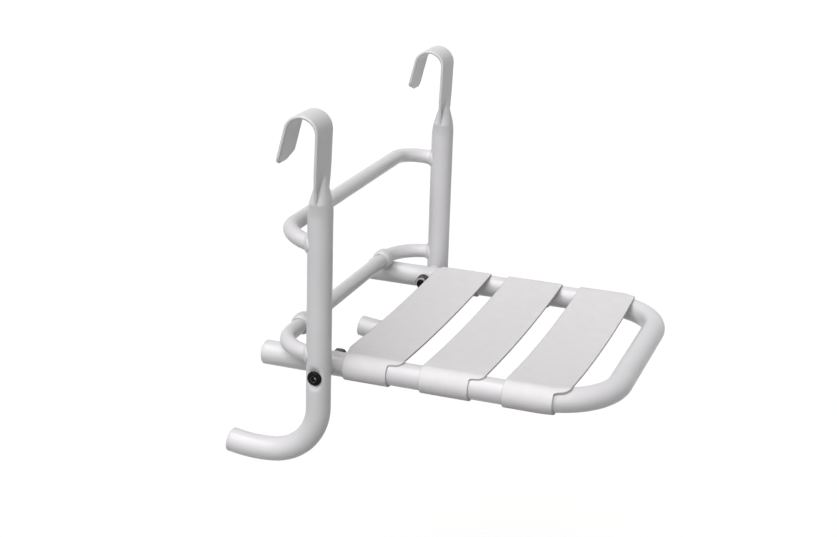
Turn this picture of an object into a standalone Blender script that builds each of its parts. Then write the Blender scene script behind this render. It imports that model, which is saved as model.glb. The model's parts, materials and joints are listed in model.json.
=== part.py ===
"""Folding shower seat that hangs from a grab rail by two hooks.

Units are metres. +Z is up, +Y points at the wall behind the rail, and the seat
reaches out along -Y. The origin is on the rail's axis, midway between the hooks.
Left is -X and right is +X, as seen by someone who faces the seat.
"""

from math import asin, ceil, cos, hypot, pi, radians, sin, sqrt

import bpy
import bmesh
from mathutils import Matrix, Vector

# Gap left between pieces that touch
GAP = 0.0003

# Tube stock
TUBE_R = 0.014
TUBE_WALL = 0.002
BAR_R = 0.009
BAR_WALL = 0.0015

# Hooks, pressed flat from the uprights' own tube
RAIL_D = 0.032
RAIL_PLAY = 0.0003
HOOK_T = 0.004
HOOK_W = 0.0418
HOOK_LEAN = radians(1.9)
HOOK_SPREAD = radians(14.0)
HOOK_TIP = 0.0413
TIP_CORNER = 0.008
TIP_SLANT = 0.022
TONGUE_TAPER = 0.9
TONGUE_SINK = 1.6

# Heights and places, measured from the seat's pivot axis
UPRIGHT_SPACING = 0.3997
RAIL_HEIGHT = 0.2768
LEAN_START = 0.175
PRESS_START = 0.186
LIP_START = 0.200
PRESS_END = 0.240
LEAN_BEND_R = 0.300

# Feet, bent back towards the wall
FOOT_DROP = 0.0392
FOOT_BEND_R = 0.062
FOOT_BEND = radians(82.0)
FOOT_CURL_R = 0.160
FOOT_CURL = radians(16.0)
FOOT_END = 0.0085

# Bent bars that join the uprights behind the seat
UPPER_BAR_Z = 0.150
UPPER_BAR_DEPTH = 0.050
UPPER_BAR_BEND_R = 0.043
UPPER_BAR_RISE = radians(9.0)
LOWER_BAR_DEPTH = 0.0565
LOWER_BAR_BEND_R = 0.053
WELD_REACH = 0.005
WELD_RISE = 0.0018

# Short sleeves on the lower bar, at their two places in the photo
SLEEVE_WALL = 0.0033
SLEEVE_LENGTH = 0.021
SLEEVE_ROUND = 0.0015
LEFT_SLEEVE_INSET = 0.0357
RIGHT_SLEEVE_INSET = 0.0098

# Seat frame
TUBE_INSET = 0.0377
SEAT_FRONT = 0.316
SEAT_REAR = 0.080
SEAT_BEND_R = 0.076
BEND_OVAL = 0.05

# Straps sewn round the seat frame's side tubes
STRAP_T = 0.0019
STRAP_PLAY = 0.0004
STRAP_W = 0.073
STRAP_PITCH = 0.0955
STRAP_FIRST = 0.014
WRAP_W = 0.057
STRAP_SAGS = {"rear_strap": 0.0045, "middle_strap": 0.0055, "front_strap": 0.0075}

# Pivot bolts and what is on them
BOLT_R = 0.005
BOLT_PLAY = 0.0003
BOLT_HEAD_R = 0.0084
BOLT_HEAD_H = 0.0043
BOLT_HEAD_RIM = 0.0012
BOLT_END = 0.0035
BOLT_CHAMFER = 0.0009
SOCKET_R = 0.0035
SOCKET_DEPTH = 0.0022
POCKET_PLAY = 0.0005
SPACER_R = 0.0088
FLANGE_R = 0.0088
FLANGE_T = 0.002
BUSH_R = 0.0068
BUSH_LENGTH = 0.008
WASHER_R = 0.009
WASHER_T = 0.002
NUT_R = 0.00924
NUT_H = 0.0095
NUT_COLLAR_H = 0.0022
NUT_COLLAR_TOP_R = 0.0066

# End plugs
PLUG_HEAD = 0.0036
PLUG_ROUND = 0.0028
PLUG_STEM = 0.009

# Sides of the faceted pieces
TUBE_SIDES = 20
BORE_SIDES = 12
BAR_SIDES = 14
SMALL_SIDES = 18
WRAP_SIDES = 24
WEB_STEPS = 14
LAP_SIDES = 2
STRAP_STEP = 0.0075
FOOT_STEPS = 7
CURL_STEPS = 3
HOOK_STEPS = 14
PRESS_STEPS = 2
LIP_STEPS = 6
TIP_STEPS = 3
WELD_STEPS = 5
BAR_BEND_STEPS = 8
SEAT_BEND_STEPS = 12
DOME_STEPS = 3
PLUG_STEPS = 3
SMOOTH_BELOW = radians(35.0)

# Places worked out from the sizes above
HOOK_MID_R = RAIL_D / 2 + RAIL_PLAY + HOOK_T / 2
UPRIGHT_X = UPRIGHT_SPACING / 2
SEAT_X = UPRIGHT_X - TUBE_INSET
PIVOT_Z = -RAIL_HEIGHT
LEAN_RISE = RAIL_HEIGHT - LEAN_START - HOOK_MID_R * sin(HOOK_LEAN)
LEAN_RUN = (LEAN_RISE - LEAN_BEND_R * sin(HOOK_LEAN)) / cos(HOOK_LEAN)
PIVOT_Y = (
    LEAN_BEND_R * (1 - cos(HOOK_LEAN)) + LEAN_RUN * sin(HOOK_LEAN) - HOOK_MID_R * cos(HOOK_LEAN)
)
SLEEVE_R = BAR_R + GAP + SLEEVE_WALL
LOWER_BAR_Z = TUBE_R + GAP + BAR_R
POCKET_R = BOLT_HEAD_R + POCKET_PLAY
POCKET_FLOOR = sqrt(TUBE_R**2 - POCKET_R**2)
BORE_R = TUBE_R - TUBE_WALL
WRAP_R = TUBE_R + STRAP_PLAY
HOLE_R = BOLT_R + BOLT_PLAY
BUSH_FACE = TUBE_R + GAP + FLANGE_T

PAINT = ((0.80, 0.79, 0.79), 0.35, 0.0)
PLASTIC = ((0.83, 0.83, 0.83), 0.42, 0.0)
STRAP = ((0.78, 0.77, 0.75), 0.65, 0.0)
BLACK = ((0.015, 0.015, 0.016), 0.40, 0.6)
STEEL = ((0.56, 0.56, 0.55), 0.30, 1.0)


def clear_scene():
    for old in list(bpy.data.objects):
        bpy.data.objects.remove(old, do_unlink=True)


def anchor(name):
    """An empty on the seat's pivot axis, which carries one of the two bodies."""
    empty = bpy.data.objects.new(name, None)
    empty.location = (0.0, PIVOT_Y, PIVOT_Z)
    bpy.context.collection.objects.link(empty)
    return empty


def material(name, look):
    colour, roughness, metallic = look
    made = bpy.data.materials.new(name)
    made.use_nodes = True
    shader = made.node_tree.nodes["Principled BSDF"]
    shader.inputs["Base Color"].default_value = (*colour, 1.0)
    shader.inputs["Roughness"].default_value = roughness
    shader.inputs["Metallic"].default_value = metallic
    return made


def place(name, mesh, parent, look=None):
    """Links a mesh as one named piece, or as a hidden cutter where it has no look."""
    mesh.name = name
    piece = bpy.data.objects.new(name, mesh)
    bpy.context.collection.objects.link(piece)
    piece.parent = parent
    if look is None:
        piece.hide_render = True
        piece.display_type = "WIRE"
        return piece
    mesh.materials.append(material(name, look))
    mesh.shade_smooth()
    mesh.set_sharp_from_angle(angle=SMOOTH_BELOW)
    return piece


def cut(piece, cutter):
    boolean = piece.modifiers.new("cut_" + cutter.name, "BOOLEAN")
    boolean.operation = "DIFFERENCE"
    boolean.solver = "EXACT"
    boolean.object = cutter


def route(start, heading, normal, runs):
    """Points and headings along straight runs and arcs in the plane square to normal.

    Each run is its length, the angle it turns by about the normal and its steps.
    """
    point = Vector(start)
    heading = Vector(heading).normalized()
    normal = Vector(normal).normalized()
    stations = [(point.copy(), heading.copy())]
    for length, turn, steps in runs:
        centre = None
        if turn:
            centre = point + normal.cross(heading) * (length / turn)
        first_point = point.copy()
        first_heading = heading.copy()
        for step in range(1, steps + 1):
            share = step / steps
            if turn:
                spin = Matrix.Rotation(turn * share, 3, normal)
                point = centre + spin @ (first_point - centre)
                heading = spin @ first_heading
            else:
                point = first_point + first_heading * (length * share)
            stations.append((point.copy(), heading.copy()))
    return stations


def arc(radius, turn, steps):
    return (radius * abs(turn), turn, steps)


def straight(length, steps=1):
    return (length, 0.0, steps)


def circle(radius, sides, oval=0.0):
    """Offsets across the route's plane and within it; oval narrows the second."""
    turns = [2 * pi * side / sides for side in range(sides)]
    return [(radius * cos(t), radius * (1 - oval) * sin(t)) for t in turns]


def sweep(stations, normal, sections):
    """A closed solid with one section ring at each station, and flat ends."""
    shape = bmesh.new()
    normal = Vector(normal).normalized()
    rings = []
    for (point, heading), section in zip(stations, sections):
        inward = normal.cross(heading)
        rings.append([shape.verts.new(point + normal * a + inward * b) for a, b in section])
    for ring, after in zip(rings, rings[1:]):
        for side in range(len(ring)):
            corner = (side + 1) % len(ring)
            shape.faces.new((ring[side], ring[corner], after[corner], after[side]))
    shape.faces.new(list(reversed(rings[0])))
    shape.faces.new(rings[-1])
    return finished(shape)


def finished(shape):
    bmesh.ops.recalc_face_normals(shape, faces=shape.faces)
    if shape.calc_volume(signed=True) < 0:
        bmesh.ops.reverse_faces(shape, faces=shape.faces)
    mesh = bpy.data.meshes.new("mesh")
    shape.to_mesh(mesh)
    shape.free()
    return mesh


def turned(profile, sides):
    """A solid of revolution about Z; the profile runs bottom to top, radius then height."""
    shape = bmesh.new()
    rings = []
    for radius, height in profile:
        if radius == 0.0:
            rings.append([shape.verts.new((0.0, 0.0, height))])
            continue
        turns = [2 * pi * side / sides for side in range(sides)]
        rings.append([shape.verts.new((radius * cos(t), radius * sin(t), height)) for t in turns])
    for ring, after in zip(rings, rings[1:]):
        for side in range(sides):
            corner = (side + 1) % sides
            if len(ring) == 1:
                shape.faces.new((ring[0], after[corner], after[side]))
            elif len(after) == 1:
                shape.faces.new((ring[side], ring[corner], after[0]))
            else:
                shape.faces.new((ring[side], ring[corner], after[corner], after[side]))
    if len(rings[0]) > 1:
        shape.faces.new(list(reversed(rings[0])))
    if len(rings[-1]) > 1:
        shape.faces.new(rings[-1])
    return finished(shape)


def rod(name, parent, radius, low, high, sides):
    """A hidden round cutter along the axis of its own Z, from low to high."""
    return place(name, turned([(radius, low), (radius, high)], sides), parent)


def aim(piece, where, direction):
    """Puts the piece's origin at a place and its Z along a direction."""
    piece.location = where
    piece.rotation_mode = "QUATERNION"
    piece.rotation_quaternion = Vector(direction).to_track_quat("Z", "Y")


def foot_stations(x):
    """The foot's middle line, from where the upright starts to bend to its end."""
    bend = arc(FOOT_BEND_R, FOOT_BEND, FOOT_STEPS)
    curl = arc(FOOT_CURL_R, FOOT_CURL, CURL_STEPS)
    runs = [bend, curl, straight(FOOT_END)]
    return route((x, 0.0, -FOOT_DROP), (0, 0, -1), (1, 0, 0), runs)


def backwards(stations):
    return [(point, -heading) for point, heading in reversed(stations)]


def upright_stations(x):
    """The upright's middle line, from the end of its foot to the tip of its hook."""
    bend_top = LEAN_START + LEAN_BEND_R * sin(HOOK_LEAN)
    up_lean = 1 / cos(HOOK_LEAN)
    to_lips = (LIP_START - PRESS_START) * up_lean
    lips = (PRESS_END - LIP_START) * up_lean
    to_press = (PRESS_START - bend_top) * up_lean
    stalk = route(
        (x, 0.0, -FOOT_DROP),
        (0, 0, 1),
        (-1, 0, 0),
        [
            straight(FOOT_DROP + LEAN_START),
            arc(LEAN_BEND_R, -HOOK_LEAN, 1),
            straight(to_press),
            straight(to_lips, PRESS_STEPS),
            straight(lips, LIP_STEPS),
            straight(LEAN_RUN - to_press - to_lips - lips),
            arc(HOOK_MID_R, HOOK_LEAN + pi - HOOK_SPREAD, HOOK_STEPS),
            straight(HOOK_TIP - TIP_CORNER),
        ],
    )
    point, heading = stalk[-1]
    for step in range(1, TIP_STEPS + 1):
        along = TIP_CORNER * sin(pi / 2 * step / TIP_STEPS)
        stalk.append((point + heading * along, heading))
    return backwards(foot_stations(x))[:-1] + stalk


def pressed_section(height, sides):
    """A ring of the tube where it is pressed flat.

    The round first widens and thins. Then flat lips grow in from both edges, and
    the bulge between them narrows to a tongue and sinks to the lips' thickness.
    """
    press = min(max((height - PRESS_START) / (PRESS_END - PRESS_START), 0.0), 1.0)
    lips = min(max((height - LIP_START) / (PRESS_END - LIP_START), 0.0), 1.0)
    if press == 0.0:
        return circle(TUBE_R, sides)
    lip = HOOK_T / 2
    reach = TUBE_R + (HOOK_W / 2 - TUBE_R) * sin(press * pi / 2)
    bulge_w = reach * (1 - lips) ** TONGUE_TAPER
    bulge_h = lip + (TUBE_R - lip) * (1 - press**TONGUE_SINK)
    ring = []
    for side in range(sides):
        turn = 2 * pi * side / sides
        across = reach * cos(turn)
        thick = lip_thickness(across, reach)
        if abs(across) < bulge_w:
            thick = max(thick, bulge_h * sqrt(1 - (across / bulge_w) ** 2))
        ring.append((across, thick if sin(turn) > 0 else -thick))
    return ring


def lip_thickness(across, reach):
    """Half the pressed strip's thickness at a distance from its middle, with round edges."""
    lip = HOOK_T / 2
    edge = max(abs(across) - (reach - lip), 0.0)
    return sqrt(max(lip**2 - edge**2, 0.0))


def tip_section(side, back_from_end, sides):
    """A ring of the hook's tip, round at its outer corner and cut slanting at its inner one."""
    inset = max(TIP_CORNER - back_from_end, 0.0)
    outer = HOOK_W / 2 - TIP_CORNER + sqrt(max(TIP_CORNER**2 - inset**2, 0.0))
    inner = HOOK_W / 2 - TIP_SLANT * inset / TIP_CORNER
    middle = side * (outer - inner) / 2
    reach = (outer + inner) / 2
    ring = []
    for corner in range(sides):
        turn = 2 * pi * corner / sides
        across = reach * cos(turn)
        thick = lip_thickness(across, reach)
        ring.append((middle + across, thick if sin(turn) > 0 else -thick))
    return ring


def upright(label, side, hanger):
    """An upright tube with its bent foot below and its pressed hook above.

    The hook is a piece of its own from where the tube is fully flat.
    """
    name = label + "_upright"
    x = side * UPRIGHT_X
    stations = upright_stations(x)
    sections = []
    end = stations[-1][0]
    for point, heading in stations:
        if heading.z < 0 and point.z > RAIL_HEIGHT / 2:
            sections.append(tip_section(side, (end - point).length, TUBE_SIDES))
        elif point.y > TUBE_R and point.z < 0:
            sections.append(circle(TUBE_R, TUBE_SIDES))
        else:
            sections.append(pressed_section(point.z, TUBE_SIDES))
    rows = enumerate(stations)
    seam = next(row for row, (point, heading) in rows if point.z > PRESS_END - GAP)
    tube = sweep(stations[: seam + 1], (1, 0, 0), sections[: seam + 1])
    piece = place(name, tube, hanger, PAINT)
    root, up = stations[seam]
    strip = [(root + up * GAP, up)] + stations[seam + 1 :]
    place(label + "_hook", sweep(strip, (1, 0, 0), sections[seam:]), hanger, PAINT)

    foot = foot_stations(x)
    last, heading = foot[-1]
    foot.append((last + heading * TUBE_WALL, heading))
    top = (Vector((x, 0.0, PRESS_START)), Vector((0, 0, 1)))
    bore = backwards(foot) + [top]
    rings = [circle(BORE_R, BORE_SIDES) for station in bore]
    bore_cutter = place(name + "_bore", sweep(bore, (1, 0, 0), rings), hanger)
    outwards = (side, 0, 0)
    boss_low = POCKET_FLOOR - TUBE_WALL
    boss = rod(name + "_boss", hanger, POCKET_R + TUBE_WALL, boss_low, 2 * TUBE_R, SMALL_SIDES)
    pocket = rod(name + "_pocket", hanger, POCKET_R, POCKET_FLOOR, 2 * TUBE_R, SMALL_SIDES)
    hole = rod(name + "_hole", hanger, HOLE_R, -2 * TUBE_R, 2 * TUBE_R, SMALL_SIDES)
    for cutter in (boss, pocket, hole):
        aim(cutter, (x, 0, 0), outwards)
    cut(bore_cutter, boss)
    cut(piece, bore_cutter)
    cut(piece, pocket)
    cut(piece, hole)
    return foot[-2]


def bar_arm(lead, bend_r):
    """Where a cross bar's arm starts behind the upright's axis, and its runs to the span.

    The rings lie closer where the weld flares the bar, in the bend or ahead of it.
    """
    weld_end = TUBE_R + WELD_REACH
    start = min(TUBE_R, lead) / 2
    if lead < weld_end:
        weld_turn = asin(min((weld_end - lead) / bend_r, 1.0))
        flared = arc(bend_r, -weld_turn, WELD_STEPS)
        plain = arc(bend_r, weld_turn - pi / 2, BAR_BEND_STEPS)
        return start, [straight(lead - start), flared, plain]
    flared = straight(weld_end - start, WELD_STEPS)
    return start, [flared, straight(lead - weld_end), arc(bend_r, -pi / 2, BAR_BEND_STEPS)]


def cross_bar(name, height, depth, bend_r, rise, hanger):
    """A bar bent into a shallow U and welded to the backs of both uprights."""
    back = Vector((0, cos(rise), sin(rise)))
    normal = Vector((0, -sin(rise), cos(rise)))
    start, arm = bar_arm(depth - bend_r, bend_r)
    root = Vector((-UPRIGHT_X, 0, height))
    span = straight(2 * (UPRIGHT_X - bend_r))
    stations = route(root + back * start, back, normal, arm + [span] + list(reversed(arm)))
    sections = []
    for point, heading in stations:
        from_upright = hypot(UPRIGHT_X - abs(point.x), point.y, point.z - height)
        near = min(max((TUBE_R + WELD_REACH - from_upright) / WELD_REACH, 0.0), 1.0)
        sections.append(circle(BAR_R + WELD_RISE * near**2, BAR_SIDES))
    piece = place(name, sweep(stations, normal, sections), hanger, PAINT)
    bores = [circle(BAR_R - BAR_WALL, BORE_SIDES) for station in stations]
    bore = sweep(past_both_ends(stations, BAR_WALL), normal, bores)
    cut(piece, place(name + "_bore", bore, hanger))
    reach = 2 * BAR_R + depth * sin(rise)
    for side, label in ((-1, "left"), (1, "right")):
        cope_name = "%s_%s_cope" % (name, label)
        cope = rod(cope_name, hanger, TUBE_R + GAP, height - reach, height + reach, TUBE_SIDES)
        cope.location = (side * UPRIGHT_X, 0, 0)
        cut(piece, cope)


def past_both_ends(stations, extra):
    """The same stations, with the first and last moved out past the tube's ends."""
    (first, first_heading), (last, last_heading) = stations[0], stations[-1]
    moved_first = (first - first_heading * extra, first_heading)
    moved_last = (last + last_heading * extra, last_heading)
    return [moved_first] + stations[1:-1] + [moved_last]


def bar_line(places):
    """Stations on the lower bar's right half, at these distances from the middle."""
    bend_start = UPRIGHT_X - LOWER_BAR_BEND_R
    stations = []
    for x in places:
        turn = asin(max(x - bend_start, 0.0) / LOWER_BAR_BEND_R)
        y = LOWER_BAR_DEPTH - LOWER_BAR_BEND_R * (1 - cos(turn))
        stations.append((Vector((x, y, LOWER_BAR_Z)), Vector((cos(turn), -sin(turn), 0))))
    return stations


def bar_sleeve(name, side, inset, hanger):
    """A short plastic sleeve on the lower bar, narrower at both its ends."""
    outer = SEAT_X - inset
    inner = outer - SLEEVE_LENGTH
    middle = (inner + outer) / 2
    flip = Vector((side, 1, 1))
    places = [inner, inner + SLEEVE_ROUND, middle, outer - SLEEVE_ROUND, outer]
    stations = [(point * flip, heading * flip) for point, heading in bar_line(places)]
    end = circle(SLEEVE_R - SLEEVE_ROUND, SMALL_SIDES)
    full = circle(SLEEVE_R, SMALL_SIDES)
    piece = place(name, sweep(stations, (0, 0, 1), [end, full, full, full, end]), hanger, PLASTIC)
    holes = [circle(BAR_R + GAP, SMALL_SIDES) for station in stations]
    bore = sweep(past_both_ends(stations, SLEEVE_WALL), (0, 0, 1), holes)
    cut(piece, place(name + "_bore", bore, hanger))


def seat_frame(seat):
    """One tube bent into a U, open towards the wall."""
    side_run = SEAT_REAR + SEAT_FRONT - SEAT_BEND_R
    front_run = 2 * (SEAT_X - SEAT_BEND_R)
    bend = arc(SEAT_BEND_R, pi / 2, SEAT_BEND_STEPS)
    start = (-SEAT_X, SEAT_REAR, 0)
    runs = [straight(side_run), bend, straight(front_run), bend, straight(side_run)]
    stations = route(start, (0, -1, 0), (0, 0, 1), runs)
    sections = []
    bores = []
    for point, heading in stations:
        bent = abs(2 * heading.x * heading.y)
        sections.append(circle(TUBE_R, TUBE_SIDES, BEND_OVAL * bent))
        bores.append(circle(BORE_R, BORE_SIDES, BEND_OVAL * bent))
    piece = place("seat_frame", sweep(stations, (0, 0, 1), sections), seat, PAINT)
    bore = sweep(past_both_ends(stations, TUBE_WALL), (0, 0, 1), bores)
    cut(piece, place("seat_frame_bore", bore, seat))
    for side, label in ((-1, "left"), (1, "right")):
        hole = rod("seat_hole_" + label, seat, BUSH_R + GAP, -2 * TUBE_R, 2 * TUBE_R, SMALL_SIDES)
        aim(hole, (side * SEAT_X, 0, 0), (1, 0, 0))
        cut(piece, hole)
    return [stations[0], stations[-1]]


def frame_place(y):
    """The side tube's distance from the middle at y, and how much its section widens there."""
    past = max(SEAT_BEND_R - SEAT_FRONT - y, 0.0)
    turn = asin(min(past / SEAT_BEND_R, 1.0))
    return SEAT_X - SEAT_BEND_R * (1 - cos(turn)), 1 / cos(turn)


def wrap_point(y, turn, radius):
    """A point of the right-hand wrap, counted from the tube's top towards the middle.

    Where the frame bends, the wrap's inner half follows it and its outer half stays straight.
    """
    frame_x, widen = frame_place(y)
    angle = 2 * pi * turn / WRAP_SIDES
    if turn % (WRAP_SIDES // 2) == 0:
        x = (frame_x + SEAT_X) / 2
    elif sin(angle) > 0:
        x = frame_x - radius * widen * sin(angle)
    else:
        x = SEAT_X - radius * sin(angle)
    return x, radius * cos(angle)


def strap_levels(rear, front):
    """Places across the strap, closer together where the frame bends."""
    bend_start = SEAT_BEND_R - SEAT_FRONT
    if front >= bend_start:
        return [rear, front]
    first = min(rear, bend_start)
    steps = ceil((first - front) / STRAP_STEP)
    levels = [first + (front - first) * step / steps for step in range(steps + 1)]
    return levels if rear == first else [rear] + levels


def strap(name, rear_y, sag, seat):
    """A woven strap sewn round both side tubes, sagging a little between them.

    The section is two rings round the tubes and a web between their tops. The
    wraps are narrower than the web, which runs on over the tubes to their shoulders.
    """
    shape = bmesh.new()
    top = WRAP_R + STRAP_T

    def level_verts(y):
        rings = {}
        for side in (-1, 1):
            for turn in range(WRAP_SIDES):
                for layer, radius in (("in", WRAP_R), ("out", top)):
                    x, z = wrap_point(y, turn, radius)
                    rings[side, turn, layer] = shape.verts.new((side * x, y, z))
        side_x = frame_place(y)[0]
        edge = wrap_point(y, LAP_SIDES, top)[0]
        web = []
        for count in range(WEB_STEPS + 1):
            x = -edge + 2 * edge * count / WEB_STEPS
            z = top - sag * (1 - (x / side_x) ** 2)
            upper = shape.verts.new((x, y, z))
            lower = shape.verts.new((x, y, z - STRAP_T))
            web.append((upper, lower))
        web[0] = (web[0][0], rings[-1, LAP_SIDES, "out"])
        web[-1] = (web[-1][0], rings[1, LAP_SIDES, "out"])
        return rings, web

    def cells(verts, wrap):
        """The section's cells at one level: the web's, then each side's."""
        rings, web = verts
        found = []
        for (upper, lower), (next_upper, next_lower) in zip(web, web[1:]):
            found.append([upper, next_upper, next_lower, lower])
        for side, end in ((-1, web[0]), (1, web[-1])):
            lap = [rings[side, turn, "out"] for turn in range(LAP_SIDES + 1)]
            found.append(lap + [end[0]])
            for turn in range(WRAP_SIDES) if wrap else range(-LAP_SIDES, LAP_SIDES):
                here = turn % WRAP_SIDES
                there = (turn + 1) % WRAP_SIDES
                near = [rings[side, here, layer] for layer in ("in", "out")]
                far = [rings[side, there, layer] for layer in ("out", "in")]
                found.append(near + far)
        return found

    wrap_end = rear_y - WRAP_W
    wrapped = [level_verts(y) for y in strap_levels(rear_y, wrap_end)]
    lapped = wrapped[-1:] + [level_verts(y) for y in strap_levels(wrap_end, rear_y - STRAP_W)[1:]]
    for levels, wrap in ((wrapped, True), (lapped, False)):
        for near, far in zip(levels, levels[1:]):
            add_prisms(shape, cells(near, wrap), cells(far, wrap))
    remove_inner_faces(shape)
    loose = [vert for vert in shape.verts if not vert.link_faces]
    bmesh.ops.delete(shape, geom=loose, context="VERTS")
    place(name, finished(shape), seat, STRAP)


def add_prisms(shape, near_cells, far_cells):
    """Fills each pair of matching cells with the faces of a prism."""
    for near, far in zip(near_cells, far_cells):
        count = len(near)
        add_face(shape, near)
        add_face(shape, far)
        for corner in range(count):
            after = (corner + 1) % count
            add_face(shape, [near[corner], near[after], far[after], far[corner]])


def add_face(shape, corners):
    """Adds a face, or marks the one that is already there as an inner wall."""
    known = shape.faces.get(corners)
    if known is None:
        shape.faces.new(corners)
    else:
        known.tag = True


def remove_inner_faces(shape):
    inner = [face for face in shape.faces if face.tag]
    bmesh.ops.delete(shape, geom=inner, context="FACES")


def plug(name, station, parent):
    """A plastic plug whose stem fills the tube and whose head covers its end."""
    end, heading = station
    stem_r = BORE_R * cos(pi / BORE_SIDES) - GAP
    profile = [(0.0, -PLUG_STEM), (stem_r - PLUG_ROUND / 2, -PLUG_STEM)]
    profile += [(stem_r, -PLUG_STEM + PLUG_ROUND / 2), (stem_r, GAP)]
    profile += [(TUBE_R, GAP)]
    for step in range(PLUG_STEPS + 1):
        turn = pi / 2 * step / PLUG_STEPS
        radius = TUBE_R - PLUG_ROUND * (1 - cos(turn))
        profile.append((radius, GAP + PLUG_HEAD - PLUG_ROUND * (1 - sin(turn))))
    profile.append((0.0, GAP + PLUG_HEAD))
    piece = place(name, turned(profile, TUBE_SIDES), parent, PLASTIC)
    aim(piece, end, heading)


def drilled_ring(name, parent, look, where, outwards, radius, low, high):
    """A plain ring between two distances along its axis, with the bolt's hole."""
    piece = place(name, turned([(radius, low), (radius, high)], SMALL_SIDES), parent, look)
    aim(piece, where, outwards)
    reach = high - low
    cutter = rod(name + "_hole", parent, HOLE_R, low - reach, high + reach, SMALL_SIDES)
    aim(cutter, where, outwards)
    cut(piece, cutter)
    return piece


def saddle(piece, parent, x, along):
    """Hollows a piece to sit on a tube at x that runs along the given direction."""
    cutter = rod(piece.name + "_saddle", parent, TUBE_R + GAP, -2 * TUBE_R, 2 * TUBE_R, TUBE_SIDES)
    aim(cutter, (x, 0, 0), along)
    cut(piece, cutter)


def pivot(label, side, hanger, seat):
    """One side's pivot: bolt, spacer, two bushes, washer and nut.

    Distances run inwards from the upright's axis.
    """
    upright_at = (side * UPRIGHT_X, 0, 0)
    inwards = (-side, 0, 0)
    bush_out = TUBE_INSET - BUSH_FACE
    bush_in = TUBE_INSET + BUSH_FACE
    spacer = drilled_ring(
        label + "_spacer",
        hanger,
        PLASTIC,
        upright_at,
        inwards,
        SPACER_R,
        TUBE_R / 2,
        bush_out - GAP,
    )
    saddle(spacer, hanger, side * UPRIGHT_X, (0, 0, 1))
    for name, facing in (("outer", side), ("inner", -side)):
        bush(label + "_" + name + "_bush", side * SEAT_X, facing, seat)
    washer_at = bush_in + GAP
    drilled_ring(
        label + "_washer",
        hanger,
        STEEL,
        upright_at,
        inwards,
        WASHER_R,
        washer_at,
        washer_at + WASHER_T,
    )
    nut_at = washer_at + WASHER_T + GAP
    nut(label + "_nut", upright_at, inwards, nut_at, hanger)
    bolt(label + "_pivot_bolt", upright_at, inwards, nut_at + NUT_H + BOLT_END, hanger)


def bush(name, x, facing, seat):
    """A flanged bush pressed into one wall of the seat's tube, saddled on the outside."""
    profile = [(BUSH_R, TUBE_R - BUSH_LENGTH), (BUSH_R, TUBE_R / 2 + FLANGE_T)]
    profile += [(FLANGE_R, TUBE_R / 2 + FLANGE_T), (FLANGE_R, BUSH_FACE)]
    piece = place(name, turned(profile, SMALL_SIDES), seat, PLASTIC)
    aim(piece, (x, 0, 0), (facing, 0, 0))
    seat_cut = bush_seat(name, x, facing, seat)
    cut(piece, seat_cut)
    hole = rod(name + "_hole", seat, HOLE_R, 0.0, 2 * BUSH_FACE, SMALL_SIDES)
    aim(hole, (x, 0, 0), (facing, 0, 0))
    cut(piece, hole)


def bush_seat(name, x, facing, seat):
    """The seat tube's wall as a cutter: a tube-shaped block with room for the bush's neck."""
    block = rod(name + "_wall", seat, TUBE_R + GAP, -2 * TUBE_R, 2 * TUBE_R, TUBE_SIDES)
    aim(block, (x, 0, 0), (0, 1, 0))
    neck = rod(name + "_neck", seat, BUSH_R + GAP / 2, -2 * TUBE_R, 2 * TUBE_R, SMALL_SIDES)
    aim(neck, (x, 0, 0), (facing, 0, 0))
    cut(block, neck)
    return block


def bolt(name, where, inwards, end, hanger):
    """A button-head bolt, its head in the pocket pressed into the upright."""
    head = -(POCKET_FLOOR + GAP)
    top = head - BOLT_HEAD_H
    dome = BOLT_HEAD_H - BOLT_HEAD_RIM
    profile = [(0.0, top + SOCKET_DEPTH), (SOCKET_R, top + SOCKET_DEPTH), (SOCKET_R, top)]
    for step in range(1, DOME_STEPS + 1):
        turn = pi / 2 * step / DOME_STEPS
        reach = SOCKET_R + (BOLT_HEAD_R - SOCKET_R) * sin(turn)
        profile.append((reach, top + dome * (1 - cos(turn))))
    profile += [(BOLT_HEAD_R, head), (BOLT_R, head), (BOLT_R, end - BOLT_CHAMFER)]
    profile += [(BOLT_R - BOLT_CHAMFER, end), (0.0, end)]
    piece = place(name, turned(profile, SMALL_SIDES), hanger, BLACK)
    aim(piece, where, inwards)


def nut(name, where, inwards, low, hanger):
    """A hexagon nut with a round locking collar."""
    collar = low + NUT_H - NUT_COLLAR_H
    piece = place(name, turned([(NUT_R, low), (NUT_R, collar)], 6), hanger, BLACK)
    aim(piece, where, inwards)
    across_flats = NUT_R * cos(pi / 6)
    foot_r = across_flats - GAP
    profile = [(foot_r, collar - GAP), (foot_r, collar + GAP), (NUT_COLLAR_TOP_R, low + NUT_H)]
    dome = place(name + "_collar", turned(profile, SMALL_SIDES), hanger)
    aim(dome, where, inwards)
    union = piece.modifiers.new("collar", "BOOLEAN")
    union.operation = "UNION"
    union.solver = "EXACT"
    union.object = dome
    hole = rod(name + "_hole", hanger, HOLE_R, low - NUT_H, low + 2 * NUT_H, SMALL_SIDES)
    aim(hole, where, inwards)
    cut(piece, hole)


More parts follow.
